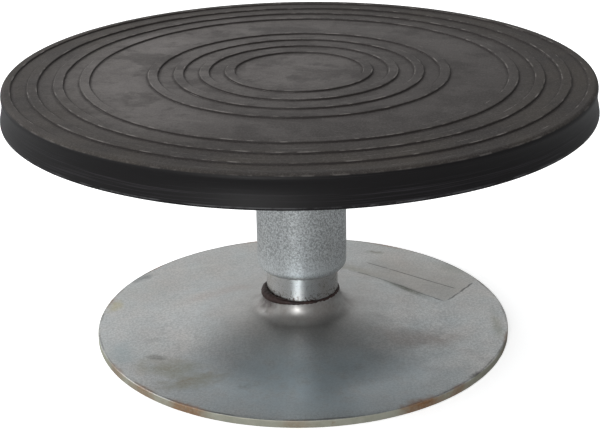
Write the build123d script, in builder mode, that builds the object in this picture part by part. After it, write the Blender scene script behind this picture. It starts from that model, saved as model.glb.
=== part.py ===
"""Sculpting turntable: a ridged rubber-covered top that spins on a post welded to a dished plate.

Millimetres, +Z up. The origin is on the floor, at the centre of the base plate, and the spin axis
is +Z. Every outline below is half of a cross-section, drawn as (radius, height) and revolved.
"""
import os
from math import acos, cos, degrees, radians, sin, sqrt, tan

from build123d import *

os.makedirs("parts", exist_ok=True)

# ---------------------------------------------------------------- driving dimensions
rim_height = 143.2

# rubber cover and the wooden disc inside it
table_radius = 150.0
skirt_height = 16.0
cover_thickness = 4.0
crown = 1.4
ridge_height = 1.2
ridge_foot = 1.0
ridge_width = 5.0
ridge_pitch = 13.0
inner_ridge_starts = [32.5 + ridge_pitch * i for i in range(4)]
outer_ridge_starts = [105.5 + ridge_pitch * i for i in range(3)]
rim_band_start = 144.5
ridge_rounding = 0.55
ridge_root_rounding = 0.4
shoulder_radius = 2.8
waist_depth = 0.8
flare = 0.9
hem_rounding = 0.5
core_radius = 145.8
core_thickness = 9.0
lip_inner_radius = 136.0

# sleeve and the flange it is welded into
sleeve_radius = 23.8
sleeve_bottom = 35.7
sleeve_lip_bore = 19.5
sleeve_plain_bore = 16.0
sleeve_end_width = 4.1
sleeve_end_height = 4.4
flange_radius = 60.0
flange_thickness = 4.0
head_weld_leg = 3.0
screw_circle_radius = 45.0
screw_count = 4
screw_radius = 2.4
screw_hole_radius = 2.75
screw_head_radius = 4.75
screw_head_height = 3.0
screw_reach = 7.5
washer_radius = 6.0
washer_thickness = 1.2

# deep-groove ball bearings, 15 x 35 x 11
bearing_bore = 7.5
bearing_outer = 17.5
bearing_width = 11.0
pitch_radius = 12.65
ball_radius = 2.976
ball_count = 8
groove_radius = 3.1
inner_shoulder = 10.85
outer_shoulder = 14.45
cage_half_width = 1.3
cage_half_height = 3.8
seal_thickness = 0.5
seal_inset = 0.3
seal_inner = 11.3
seal_outer = 15.6
lower_bearing_z = 53.5
upper_bearing_z = 100.0
ring_thickness = 1.5
ring_groove_radius = 18.5
ring_inner_radius = 15.8
ring_gap_angle = 36.0
ring_lug_radius = 1.9
ring_lug_hole = 0.9

# post
post_radius = 19.1
post_shoulder_z = 46.0
post_land_radius = 10.0
thread_radius = 6.0
axle_tip_z = 126.5
spacer_radius = 9.5
axle_washer_radius = 10.5
axle_washer_thickness = 2.0
nut_across_flats = 19.0
nut_hex_height = 8.5
nut_height = 12.0
nut_collar_radius = 8.2
insert_radius = 7.2
insert_height = 2.2

# base plate
plate_radius = 110.7
sheet = 4.0
rim_flat_radius = 85.0
cone_slope = 10.0
foot_bend_radius = 115.0
neck_bend_radius = 10.0
neck_radius = 20.0
plate_edge_rounding = 0.6
base_weld_leg = 1.7
under_weld_drop = 4.0
post_stub = 6.0

# ---------------------------------------------------------------- heights that follow
top_z = rim_height
field_z = top_z - ridge_height
core_top_z = field_z - cover_thickness
core_bottom_z = core_top_z - core_thickness
skirt_z = top_z - skirt_height
flange_bottom_z = core_bottom_z - flange_thickness
lower_ring_z = lower_bearing_z - ring_thickness
lower_bearing_top_z = lower_bearing_z + bearing_width
upper_bearing_top_z = upper_bearing_z + bearing_width
nut_z = upper_bearing_top_z + axle_washer_thickness

# the plate's meridian: flat rim, wide foot bend, straight cone, tight neck bend
slope = radians(cone_slope)
foot_centre = (rim_flat_radius, sheet + foot_bend_radius)
cone_foot = (
    foot_centre[0] - foot_bend_radius * sin(slope),
    foot_centre[1] - foot_bend_radius * cos(slope),
)
neck_centre_r = neck_radius + neck_bend_radius
cone_top_r = neck_centre_r - neck_bend_radius * sin(slope)
cone_top_z = cone_foot[1] + (cone_foot[0] - cone_top_r) * tan(slope)
neck_z = cone_top_z + neck_bend_radius * cos(slope)
neck_centre = (neck_centre_r, neck_z)
under_bend_radius = neck_bend_radius + sheet
under_start = degrees(acos((neck_centre_r - post_radius) / under_bend_radius))
under_z = neck_z - under_bend_radius * sin(radians(under_start))
post_bottom_z = under_z - post_stub


def point_at(centre, radius, angle):
    """The point at an angle, in degrees, on a circle in the section plane."""
    return (centre[0] + radius * cos(radians(angle)), centre[1] + radius * sin(radians(angle)))


def field_at(radius):
    """Height of the crowned field of the cover at a radius."""
    return field_z + crown * (1 - (radius / table_radius) ** 2)


def save(part, name):
    """Label a finished piece and write its STEP file."""
    part.label = name
    export_step(part, f"parts/{name}.step")


# ================================================================ turning parts
# ---------------------------------------------------------------- rubber cover
waist_z = skirt_z + skirt_height * 0.55
flare_radius = table_radius + flare
flat_top_end = table_radius - shoulder_radius
with BuildPart() as turntable_cover:
    with BuildSketch(Plane.XZ) as cover_section:
        with BuildLine():
            field = ThreePointArc(
                (0, field_at(0)),
                (flat_top_end / 2, field_at(flat_top_end / 2)),
                (flat_top_end, field_at(flat_top_end)),
            )
            brow = Line(field @ 1, (flat_top_end, top_z))
            edge = RadiusArc(brow @ 1, (table_radius, top_z - shoulder_radius), shoulder_radius)
            waist = Spline(
                edge @ 1,
                (table_radius - waist_depth, waist_z),
                (flare_radius, skirt_z + 1.1),
                tangents=[(-0.12, -1), (0.45, -1)],
            )
            Polyline(
                waist @ 1,
                (flare_radius, skirt_z),
                (lip_inner_radius, skirt_z),
                (lip_inner_radius, core_bottom_z),
                (core_radius, core_bottom_z),
                (core_radius, core_top_z),
                (0, core_top_z),
                (0, field_at(0)),
            )
        make_face()
        for start in inner_ridge_starts + outer_ridge_starts:
            middle = start + ridge_width / 2
            with Locations((middle, field_at(middle) + (ridge_height - ridge_foot) / 2)):
                Rectangle(ridge_width, ridge_height + ridge_foot)
        band_width = flat_top_end - rim_band_start
        with Locations((rim_band_start + band_width / 2, top_z - (ridge_height + ridge_foot) / 2)):
            Rectangle(band_width, ridge_height + ridge_foot)
        crests = cover_section.vertices().filter_by(
            lambda v: v.Y > field_at(v.X) + ridge_height / 2 and v.X < flat_top_end - 0.5
        )
        fillet(crests, ridge_rounding)
        roots = cover_section.vertices().filter_by(
            lambda v: abs(v.Y - field_at(v.X)) < 0.05 and v.X > 1
        )
        fillet(roots, ridge_root_rounding)
        hem = cover_section.vertices().filter_by(
            lambda v: v.Y < skirt_z + 0.01 and v.X > table_radius
        )
        fillet(hem, hem_rounding)
    revolve(axis=Axis.Z)
save(turntable_cover.part, "turntable_cover")

# ---------------------------------------------------------------- wooden core disc
with BuildPart() as core_disc:
    with BuildSketch(Plane.XY.offset(core_bottom_z)):
        Circle(core_radius)
    extrude(amount=core_thickness)
    with BuildSketch(Plane.XY.offset(core_bottom_z)):
        with PolarLocations(screw_circle_radius, screw_count, start_angle=45):
            Circle(screw_radius)
    extrude(amount=screw_reach, mode=Mode.SUBTRACT)
save(core_disc.part, "core_disc")

# ---------------------------------------------------------------- flange, weld and screws
with BuildPart() as head_flange:
    with BuildSketch(Plane.XY.offset(flange_bottom_z)):
        Circle(flange_radius)
        Circle(sleeve_radius, mode=Mode.SUBTRACT)
        with PolarLocations(screw_circle_radius, screw_count, start_angle=45):
            Circle(screw_hole_radius, mode=Mode.SUBTRACT)
    extrude(amount=flange_thickness)
    chamfer(head_flange.edges().group_by(Axis.Z)[0].sort_by(SortBy.LENGTH)[-1:], 0.6)
save(head_flange.part, "head_flange")

with BuildPart() as head_weld:
    with BuildSketch(Plane.XZ):
        with BuildLine():
            leg = Line((sleeve_radius, flange_bottom_z), (sleeve_radius + head_weld_leg, flange_bottom_z))
            face = ThreePointArc(
                leg @ 1,
                (sleeve_radius + head_weld_leg * 0.6, flange_bottom_z - head_weld_leg * 0.6),
                (sleeve_radius, flange_bottom_z - head_weld_leg),
            )
            Line(face @ 1, leg @ 0)
        make_face()
    revolve(axis=Axis.Z)
save(head_weld.part, "head_weld")

washer_bottom_z = flange_bottom_z - washer_thickness
with BuildPart() as flange_washers:
    with BuildSketch(Plane.XY.offset(washer_bottom_z)):
        with PolarLocations(screw_circle_radius, screw_count, start_angle=45):
            Circle(washer_radius)
            Circle(screw_hole_radius, mode=Mode.SUBTRACT)
    extrude(amount=washer_thickness)
save(flange_washers.part, "flange_washers")

screw_bottom_z = washer_bottom_z - screw_head_height
screw_tip_z = core_bottom_z + screw_reach
with BuildPart() as flange_screws:
    with BuildSketch(Plane.XY.offset(screw_bottom_z)):
        with PolarLocations(screw_circle_radius, screw_count, start_angle=45):
            Circle(screw_head_radius)
    extrude(amount=screw_head_height)
    fillet(flange_screws.edges().group_by(Axis.Z)[0], 1.4)
    with BuildSketch(Plane.XY.offset(washer_bottom_z)):
        with PolarLocations(screw_circle_radius, screw_count, start_angle=45):
            Circle(screw_radius)
    extrude(amount=screw_tip_z - washer_bottom_z)
    chamfer(flange_screws.edges().group_by(Axis.Z)[-1], 1.2)
    with BuildSketch(Plane.XY.offset(screw_bottom_z)):
        with PolarLocations(screw_circle_radius, screw_count, start_angle=45):
            Rectangle(4.6, 1.1)
            Rectangle(1.1, 4.6)
    extrude(amount=1.7, mode=Mode.SUBTRACT)
save(flange_screws.part, "flange_screws")

# ---------------------------------------------------------------- bearing sleeve
with BuildPart() as bearing_sleeve:
    with BuildSketch(Plane.XZ):
        with BuildLine():
            nose = EllipticalCenterArc(
                (sleeve_radius - sleeve_end_width, sleeve_bottom + sleeve_end_height),
                sleeve_end_width,
                sleeve_end_height,
                start_angle=270,
                arc_size=90,
            )
            Polyline(
                nose @ 1,
                (sleeve_radius, core_bottom_z),
                (bearing_outer, core_bottom_z),
                (bearing_outer, upper_bearing_top_z + ring_thickness),
                (ring_groove_radius, upper_bearing_top_z + ring_thickness),
                (ring_groove_radius, upper_bearing_top_z),
                (bearing_outer, upper_bearing_top_z),
                (bearing_outer, upper_bearing_z),
                (sleeve_plain_bore, upper_bearing_z),
                (sleeve_plain_bore, lower_bearing_top_z),
                (bearing_outer, lower_bearing_top_z),
                (bearing_outer, lower_bearing_z),
                (ring_groove_radius, lower_bearing_z),
                (ring_groove_radius, lower_ring_z),
                (bearing_outer, lower_ring_z),
                (bearing_outer, lower_ring_z - 2),
                (sleeve_lip_bore, lower_ring_z - 2),
                (sleeve_lip_bore, sleeve_bottom),
                nose @ 0,
            )
        make_face()
    revolve(axis=Axis.Z)
save(bearing_sleeve.part, "bearing_sleeve")


# ---------------------------------------------------------------- retaining rings
def retaining_ring(name, z):
    """A sprung ring with two plier lugs, seated in the sleeve's groove from z upwards."""
    lug_circle = ring_inner_radius - 0.4
    half_gap = ring_gap_angle / 2
    with BuildPart() as ring:
        with BuildSketch(Plane.XY.offset(z)):
            Circle(ring_groove_radius)
            Circle(ring_inner_radius, mode=Mode.SUBTRACT)
            with BuildLine():
                gap = Polyline(
                    (0, 0),
                    point_at((0, 0), 2 * ring_groove_radius, 90 - half_gap),
                    point_at((0, 0), 2 * ring_groove_radius, 90 + half_gap),
                    (0, 0),
                )
            make_face(mode=Mode.SUBTRACT)
            for side in (-1, 1):
                with Locations(point_at((0, 0), lug_circle, 90 + side * (half_gap + 6))):
                    Circle(ring_lug_radius)
                    Circle(ring_lug_hole, mode=Mode.SUBTRACT)
        extrude(amount=ring_thickness)
    save(ring.part, name)


retaining_ring("lower_retaining_ring", lower_ring_z)
retaining_ring("upper_retaining_ring", upper_bearing_top_z)


# ---------------------------------------------------------------- ball bearings
def bearing_ring(name, z, wall, shoulder, seal_seat):
    """One grooved ring of a bearing, from z upwards. wall is the side that is pressed home."""
    with BuildPart() as ring:
        with BuildSketch(Plane.XZ) as section:
            with Locations(((wall + shoulder) / 2, z + bearing_width / 2)):
                Rectangle(abs(wall - shoulder), bearing_width)
            outer_corners = section.vertices().filter_by(lambda v: abs(v.X - wall) < 0.01)
            chamfer(outer_corners, 0.6)
            with Locations((pitch_radius, z + bearing_width / 2)):
                Circle(groove_radius, mode=Mode.SUBTRACT)
            if seal_seat:
                depth = seal_inset + seal_thickness
                for level in (z + depth / 2, z + bearing_width - depth / 2):
                    with Locations(((shoulder + seal_outer) / 2, level)):
                        Rectangle(seal_outer - shoulder, depth, mode=Mode.SUBTRACT)
        revolve(axis=Axis.Z)
    save(ring.part, name)


def bearing(prefix, z):
    """The five kinds of piece in one bearing that stands from z upwards."""
    middle = z + bearing_width / 2
    bearing_ring(f"{prefix}_bearing_inner_ring", z, bearing_bore, inner_shoulder, False)
    bearing_ring(f"{prefix}_bearing_outer_ring", z, bearing_outer, outer_shoulder, True)

    with BuildPart() as balls:
        with Locations((0, 0, middle)):
            with PolarLocations(pitch_radius, ball_count):
                Sphere(ball_radius)
    save(balls.part, f"{prefix}_bearing_balls")

    with BuildPart() as cage:
        with BuildSketch(Plane.XY.offset(middle - cage_half_height)):
            Circle(pitch_radius + cage_half_width)
            Circle(pitch_radius - cage_half_width, mode=Mode.SUBTRACT)
        extrude(amount=2 * cage_half_height)
        with Locations((0, 0, middle)):
            with PolarLocations(pitch_radius, ball_count):
                Cylinder(
                    groove_radius,
                    4 * cage_half_width,
                    rotation=(0, 90, 0),
                    mode=Mode.SUBTRACT,
                )
    save(cage.part, f"{prefix}_bearing_cage")

    with BuildPart() as seals:
        for level in (z + seal_inset, z + bearing_width - seal_inset - seal_thickness):
            with BuildSketch(Plane.XY.offset(level)):
                Circle(seal_outer)
                Circle(seal_inner, mode=Mode.SUBTRACT)
            extrude(amount=seal_thickness)
    save(seals.part, f"{prefix}_bearing_seals")


bearing("lower", lower_bearing_z)
bearing("upper", upper_bearing_z)

# ================================================================ standing parts
# ---------------------------------------------------------------- post, spacer, washer and nut
with BuildPart() as spindle_post:
    with BuildSketch(Plane.XZ) as post_section:
        with BuildLine():
            Polyline(
                (0, post_bottom_z),
                (post_radius, post_bottom_z),
                (post_radius, post_shoulder_z),
                (post_land_radius, post_shoulder_z),
                (post_land_radius, lower_bearing_z),
                (bearing_bore, lower_bearing_z),
                (bearing_bore, upper_bearing_top_z),
                (thread_radius, upper_bearing_top_z),
                (thread_radius, axle_tip_z),
                (0, axle_tip_z),
                (0, post_bottom_z),
            )
        make_face()
        outside_ends = post_section.vertices().filter_by(
            lambda v: v.X > post_radius - 0.01 or (v.X > 1 and v.Y > axle_tip_z - 0.01)
        )
        chamfer(outside_ends, 1.0)
    revolve(axis=Axis.Z)
    with BuildSketch(Plane.XZ):
        Polygon(
            (0, post_bottom_z),
            (3.2, post_bottom_z),
            (1.2, post_bottom_z + 3.4),
            (0, post_bottom_z + 3.4),
            align=None,
        )
    revolve(axis=Axis.Z, mode=Mode.SUBTRACT)
save(spindle_post.part, "spindle_post")

with BuildPart() as bearing_spacer:
    with BuildSketch(Plane.XY.offset(lower_bearing_top_z)):
        Circle(spacer_radius)
        Circle(bearing_bore, mode=Mode.SUBTRACT)
    extrude(amount=upper_bearing_z - lower_bearing_top_z)
save(bearing_spacer.part, "bearing_spacer")

with BuildPart() as axle_washer:
    with BuildSketch(Plane.XY.offset(upper_bearing_top_z)):
        Circle(axle_washer_radius)
        Circle(thread_radius + 0.2, mode=Mode.SUBTRACT)
    extrude(amount=axle_washer_thickness)
save(axle_washer.part, "axle_washer")

insert_z = nut_z + nut_height - insert_height - 0.6
with BuildPart() as axle_nut:
    with BuildSketch(Plane.XY.offset(nut_z)):
        Circle(nut_across_flats / sqrt(3))
    extrude(amount=nut_hex_height)
    chamfer(axle_nut.edges(), 0.9)
    with BuildSketch(Plane.XY.offset(nut_z)):
        RegularPolygon(nut_across_flats / 2, 6, major_radius=False)
    extrude(amount=nut_hex_height, mode=Mode.INTERSECT)
    with BuildSketch(Plane.XY.offset(nut_z)):
        Circle(nut_collar_radius)
    extrude(amount=nut_height)
    fillet(axle_nut.edges().group_by(Axis.Z)[-1], 1.0)
    with BuildSketch(Plane.XY.offset(nut_z)):
        Circle(thread_radius)
    extrude(amount=nut_height, mode=Mode.SUBTRACT)
    with BuildSketch(Plane.XY.offset(insert_z)):
        Circle(insert_radius)
    extrude(amount=insert_height, mode=Mode.SUBTRACT)
save(axle_nut.part, "axle_nut")

with BuildPart() as nut_insert:
    with BuildSketch(Plane.XY.offset(insert_z)):
        Circle(insert_radius)
        Circle(thread_radius, mode=Mode.SUBTRACT)
    extrude(amount=insert_height)
save(nut_insert.part, "nut_insert")

# ---------------------------------------------------------------- base plate
with BuildPart() as base_plate:
    with BuildSketch(Plane.XZ) as plate_section:
        with BuildLine():
            neck = CenterArc(neck_centre, neck_bend_radius, 180, 90 - cone_slope)
            foot = CenterArc(foot_centre, foot_bend_radius, 270 - cone_slope, cone_slope)
            Line(neck @ 1, foot @ 0)
            under_foot = CenterArc(foot_centre, foot_bend_radius + sheet, 270 - cone_slope, cone_slope)
            under_neck = CenterArc(
                neck_centre, under_bend_radius, 180 + under_start, 90 - cone_slope - under_start
            )
            Line(under_neck @ 1, under_foot @ 0)
            Polyline(foot @ 1, (plate_radius, sheet), (plate_radius, 0), under_foot @ 1)
            Polyline(neck @ 0, (post_radius, neck_z), under_neck @ 0)
        make_face()
        fillet(plate_section.vertices().sort_by(Axis.X)[-2:], plate_edge_rounding)
    revolve(axis=Axis.Z)
save(base_plate.part, "base_plate")

# ---------------------------------------------------------------- weld beads of the post
with BuildPart() as base_weld:
    with BuildSketch(Plane.XZ):
        with BuildLine():
            seat = Line((post_radius, neck_z), (post_radius + base_weld_leg, neck_z))
            bead = ThreePointArc(
                seat @ 1,
                (post_radius + base_weld_leg * 0.66, neck_z + base_weld_leg * 0.66),
                (post_radius, neck_z + base_weld_leg),
            )
            Line(bead @ 1, seat @ 0)
        make_face()
    revolve(axis=Axis.Z)
save(base_weld.part, "base_weld")

with BuildPart() as under_weld:
    with BuildSketch(Plane.XZ):
        Polygon(
            (post_radius, under_z),
            (post_radius, under_z - under_weld_drop),
            (post_radius + under_weld_drop, under_z - under_weld_drop),
            align=None,
        )
        with Locations(neck_centre):
            Circle(under_bend_radius, mode=Mode.SUBTRACT)
    revolve(axis=Axis.Z)
save(under_weld.part, "under_weld")

print("neck height", round(neck_z, 2), "under side", round(under_z, 2), "post end", round(post_bottom_z, 2))
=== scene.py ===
# %% [markdown]
# # A sculptor's turntable
#
# A modelling stand for a bench: a heavy round head with a ridged rubber cover turns on a short
# column, and the column stands in a dished steel base. A sculptor turns the head by hand to see the
# work from every side.
#
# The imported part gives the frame: every size and axis comes from it. This lesson gives it its looks.
# The parts that are seen were all turned, pressed or moulded round one axis, so nearly every piece
# here starts as a half section that is spun round. What tells them apart is the finish: chalky rubber,
# rolled zinc with stains, blistered galvanising, bright turned steel and a burnt weld.

import math

import bmesh
import bpy
from mathutils import Matrix, Vector, noise


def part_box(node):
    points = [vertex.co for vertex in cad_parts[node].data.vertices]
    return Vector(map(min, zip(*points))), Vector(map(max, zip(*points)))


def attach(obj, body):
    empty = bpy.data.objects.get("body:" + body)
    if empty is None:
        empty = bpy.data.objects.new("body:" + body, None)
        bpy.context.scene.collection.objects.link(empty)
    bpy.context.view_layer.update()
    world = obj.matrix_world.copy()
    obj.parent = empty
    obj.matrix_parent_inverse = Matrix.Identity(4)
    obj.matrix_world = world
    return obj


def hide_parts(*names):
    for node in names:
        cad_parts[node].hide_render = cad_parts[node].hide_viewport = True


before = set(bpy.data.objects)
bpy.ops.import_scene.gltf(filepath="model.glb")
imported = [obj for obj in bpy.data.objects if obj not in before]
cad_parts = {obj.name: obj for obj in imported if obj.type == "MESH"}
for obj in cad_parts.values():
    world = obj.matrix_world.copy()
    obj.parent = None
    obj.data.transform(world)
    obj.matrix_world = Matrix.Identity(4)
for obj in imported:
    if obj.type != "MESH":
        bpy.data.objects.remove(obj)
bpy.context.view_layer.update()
MM = 0.001

# %% [markdown]
# ## The view
#
# The stand is seen from a little above bench height, about as a person sees it who sits in front of it.
# A long lens keeps the two round discs from stretching. The camera leans by a degree, as a hand-held
# one does.

# %% The camera
LENS = 86.12
CAMERA_DISTANCE = 758.7
CAMERA_ELEVATION = math.radians(22.09)
CAMERA_LEAN = math.radians(-0.95)
LOOK_AT = Vector((-0.66, 0.0, 64.5))

camera = bpy.data.objects.new("view", bpy.data.cameras.new("view"))
camera.data.lens = LENS
camera.data.sensor_width = 36.0
camera.data.clip_start = 0.01
camera.data.clip_end = 60.0
towards_camera = Vector((0.0, -math.cos(CAMERA_ELEVATION), math.sin(CAMERA_ELEVATION)))
tilt = Matrix.Rotation(math.radians(90) - CAMERA_ELEVATION, 4, "X")
lean = Matrix.Rotation(CAMERA_LEAN, 4, "Z")
camera.matrix_world = Matrix.Translation((LOOK_AT + towards_camera * CAMERA_DISTANCE) * MM) @ tilt @ lean
bpy.context.scene.collection.objects.link(camera)
bpy.context.scene.camera = camera
bpy.context.scene.view_settings.view_transform = "Standard"
print("camera stands at", [round(value / MM) for value in camera.location], "mm")

# %% [markdown]
# ## Nodes by hand
#
# Every finish below is a graph of shader nodes. A few short helpers keep those graphs readable. The first
# three add a node, feed its sockets and do one step of arithmetic.

# %% Helpers for shader nodes
MIX_FACTOR, MIX_FIRST, MIX_SECOND, MIX_RESULT = 0, 6, 7, 2


def feed(tree, socket, value):
    """Link another node's output to a socket, or set a plain value on it."""
    if isinstance(value, bpy.types.NodeSocket):
        tree.links.new(value, socket)
    elif socket.type == "RGBA" and len(value) == 3:
        socket.default_value = (*value, 1.0)
    else:
        socket.default_value = value


def put(tree, kind, settings=None, **inputs):
    """Add one shader node. Socket names are written with underscores for their spaces."""
    made = tree.nodes.new("ShaderNode" + kind)
    for name, value in (settings or {}).items():
        setattr(made, name, value)
    for name, value in inputs.items():
        feed(tree, made.inputs[name.replace("_", " ")], value)
    return made


def sums(tree, operation, *terms, clamp=False):
    """One step of arithmetic."""
    made = put(tree, "Math", {"operation": operation, "use_clamp": clamp})
    for socket, term in zip(made.inputs, terms):
        feed(tree, socket, term)
    return made.outputs[0]


# %% [markdown]
# Masks are numbers from 0 to 1. Multiplied, they keep only where both are; the strongest of them keeps
# where either is. A mask then says how much of a second colour lies over a first.


# %% Masks and colours
def times(tree, *terms):
    """The product of two or more masks."""
    product = terms[0]
    for term in terms[1:]:
        product = sums(tree, "MULTIPLY", product, term)
    return product


def strongest(tree, *terms):
    """The largest of two or more masks, point by point."""
    largest = terms[0]
    for term in terms[1:]:
        largest = sums(tree, "MAXIMUM", largest, term)
    return largest


def vector_sums(tree, operation, *terms):
    """One step of arithmetic on vectors. It puts out a Vector or, for a length, a Value."""
    made = put(tree, "VectorMath", {"operation": operation})
    for socket, term in zip(made.inputs, terms):
        feed(tree, socket, term)
    return made.outputs


def axes(tree, vector):
    """The X, Y and Z of a vector."""
    return put(tree, "SeparateXYZ", Vector=vector).outputs


def blended(tree, factor, first, second):
    """Two colours laid over each other."""
    made = put(tree, "Mix", {"data_type": "RGBA", "blend_type": "MIX", "clamp_factor": True})
    feed(tree, made.inputs[MIX_FACTOR], factor)
    feed(tree, made.inputs[MIX_FIRST], first)
    feed(tree, made.inputs[MIX_SECOND], second)
    return made.outputs[MIX_RESULT]


def ranged(tree, value, low, high, start=0.0, end=1.0):
    """A smooth step: start below low, end above high."""
    made = put(
        tree,
        "MapRange",
        {"interpolation_type": "SMOOTHSTEP"},
        Value=value,
        From_Min=low,
        From_Max=high,
        To_Min=start,
        To_Max=end,
    )
    return made.outputs["Result"]


# %% [markdown]
# Nearly every pattern here is noise. Its blots are given in millimetres, and squeezing the positions
# that it reads draws the blots out into streaks.


# %% Noise, streaks and paint
def cloud(tree, position, size, detail=3.0, roughness=0.5, distortion=0.0):
    """Soft noise with blots of about the given size in millimetres."""
    scale = sums(tree, "DIVIDE", 1.0, size) if isinstance(size, bpy.types.NodeSocket) else 1.0 / size
    made = put(
        tree,
        "TexNoise",
        Vector=position,
        Scale=scale,
        Detail=detail,
        Roughness=roughness,
        Distortion=distortion,
    )
    return made.outputs["Fac"]


def stretched(tree, position, turn=0.0, scale=(1.0, 1.0, 1.0), centre=(0.0, 0.0, 0.0)):
    """A position moved, turned and squeezed, so that a pattern on it lies along one direction."""
    made = put(tree, "Mapping", {"vector_type": "TEXTURE"}, Vector=position)
    feed(tree, made.inputs["Location"], centre)
    feed(tree, made.inputs["Rotation"], (0.0, 0.0, turn))
    feed(tree, made.inputs["Scale"], scale)
    return made.outputs["Vector"]


def srgb(red, green, blue):
    """A colour as a paint chart gives it, 0 to 255, turned into light."""
    return tuple(
        (value / 255 / 12.92) if value <= 10 else ((value / 255 + 0.055) / 1.055) ** 2.4
        for value in (red, green, blue)
    )


# %% [markdown]
# A node group is built once and placed many times. It never holds a shader: the Principled shader stays
# in each material, so that each finish sets its own metal, gloss and bump.


# %% Groups and materials
def new_group(name, inputs, outputs):
    """A node group, empty but for its sockets. An input of None or three numbers is a vector socket."""
    tree = bpy.data.node_groups.new(name, "ShaderNodeTree")
    for label, value in inputs.items():
        kind = "NodeSocketFloat" if isinstance(value, float) else "NodeSocketVector"
        socket = tree.interface.new_socket(label, in_out="INPUT", socket_type=kind)
        if value is not None:
            socket.default_value = value
    for label, kind in outputs.items():
        tree.interface.new_socket(label, in_out="OUTPUT", socket_type="NodeSocket" + kind)
    return tree, tree.nodes.new("NodeGroupInput").outputs, tree.nodes.new("NodeGroupOutput").inputs


def use(tree, name, **inputs):
    """Place a node group in a tree and feed it; gives its outputs."""
    made = tree.nodes.new("ShaderNodeGroup")
    made.node_tree = bpy.data.node_groups[name]
    for label, value in inputs.items():
        feed(tree, made.inputs[label.replace("_", " ")], value)
    return made.outputs


def relief(tree, shader, strength, depth, height):
    """Bump too fine for the mesh, with its depth in millimetres."""
    bump = put(tree, "Bump", Strength=strength, Distance=depth * MM, Height=height)
    feed(tree, shader.inputs["Normal"], bump.outputs["Normal"])


def new_material(name):
    """A material with its tree and its Principled shader."""
    material = bpy.data.materials.new(name)
    material.use_nodes = True
    return material, material.node_tree, material.node_tree.nodes["Principled BSDF"]


# %% [markdown]
# ## Floor and light
#
# The stand is metal and matt rubber, so it shows its surroundings more than its own colours: the zinc
# base is as bright as what it mirrors. An even white room would do, but it gives flat metal. Here the
# room is a soft sky that is brightest to the left and behind, so the two sides of the column differ. Two
# broad lamps light the top. A narrow upright one stands low in front, below the rim of the disc, where
# its light still reaches the column: it draws the bright line down the turned post and the glint on
# the neck of the base.

# %% The room
ROOM_BRIGHT = 0.88
ROOM_DIM = 0.26
BRIGHT_SIDE = Vector((-0.85, 0.30, 0.42)).normalized()

world = bpy.data.worlds.new("soft room")
world.use_nodes = True
bpy.context.scene.world = world
sky = world.node_tree
facing = vector_sums(sky, "DOT_PRODUCT", put(sky, "TexCoord").outputs["Generated"], BRIGHT_SIDE)["Value"]
brightness = ranged(sky, facing, -0.75, 0.85, ROOM_DIM, ROOM_BRIGHT)
sky.nodes["Background"].inputs["Color"].default_value = (0.985, 0.995, 1.0, 1.0)
feed(sky, sky.nodes["Background"].inputs["Strength"], brightness)


def lamp(name, azimuth, elevation, distance, size, power):
    """A rectangular lamp that looks at the column. Azimuth runs from +X towards +Y."""
    data = bpy.data.lights.new(name, "AREA")
    data.shape = "RECTANGLE"
    data.size, data.size_y = size
    data.energy = power
    azimuth, elevation = math.radians(azimuth), math.radians(elevation)
    level = math.cos(elevation)
    away = Vector((math.cos(azimuth) * level, math.sin(azimuth) * level, math.sin(elevation)))
    aimed = away.to_track_quat("Z", "Y").to_matrix().to_4x4()
    made = bpy.data.objects.new(name, data)
    made.matrix_world = Matrix.Translation(away * distance + LOOK_AT * MM) @ aimed
    bpy.context.scene.collection.objects.link(made)


lamp("window", azimuth=156, elevation=48, distance=1.5, size=(1.1, 0.8), power=8)
lamp("ceiling", azimuth=100, elevation=80, distance=2.0, size=(1.4, 1.4), power=4)
lamp("strip_lamp", azimuth=-106, elevation=17, distance=1.3, size=(0.055, 0.75), power=5.0)

# %% [markdown]
# A white floor under a bright sky would light the underside of everything and wash out the metal. So the
# floor has two faces. The camera sees near-white paper with a little glow of its own, which keeps
# the shadow faint. Every other ray meets a mid grey, so the base mirrors a calmer floor.

# %% The floor
FLOOR_RADIUS = 7.0
FLOOR_GLOW = 0.6

bm = bmesh.new()
bmesh.ops.create_circle(bm, cap_ends=True, cap_tris=False, segments=96, radius=FLOOR_RADIUS)
floor_mesh = bpy.data.meshes.new("floor")
bm.to_mesh(floor_mesh)
bm.free()
floor = bpy.data.objects.new("floor", floor_mesh)
bpy.context.scene.collection.objects.link(floor)
floor_material, tree, shader = new_material("pale floor")
floor_position = put(tree, "TexCoord").outputs["Object"]
shades = cloud(tree, floor_position, 0.3)
paper = blended(tree, shades, (0.92, 0.925, 0.93), (0.95, 0.95, 0.945))
bounce = blended(tree, shades, (0.44, 0.45, 0.46), (0.50, 0.50, 0.50))
seen = put(tree, "LightPath").outputs["Is Camera Ray"]
feed(tree, shader.inputs["Base Color"], blended(tree, seen, bounce, paper))
feed(tree, shader.inputs["Emission Color"], blended(tree, seen, (0.0, 0.0, 0.0), (1.0, 1.0, 1.0)))
shader.inputs["Emission Strength"].default_value = FLOOR_GLOW
shader.inputs["Roughness"].default_value = 0.85
shader.inputs["Specular IOR Level"].default_value = 0.1
floor_mesh.materials.append(floor_material)

# %% [markdown]
# ## Working on a lathe
#
# A turned part is its half section spun round the axis. The section is drawn as a flat face from its
# corners, and each corner is rounded with a vertex bevel, just as the edge of a real part is broken.
# Long stretches are cut into short ones so that the surface can carry small unevenness. Then the face
# is taken away, its outline is spun through a full turn, and doubles at the seam and the poles are
# merged.

# %% Helpers for turned pieces
AROUND = 256


def section(corners):
    """A flat face in the XZ plane from (radius, height) corners in millimetres, and its corner points."""
    bm = bmesh.new()
    points = [bm.verts.new((radius * MM, 0.0, height * MM)) for radius, height in corners]
    bm.faces.new(points)
    return bm, points


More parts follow.
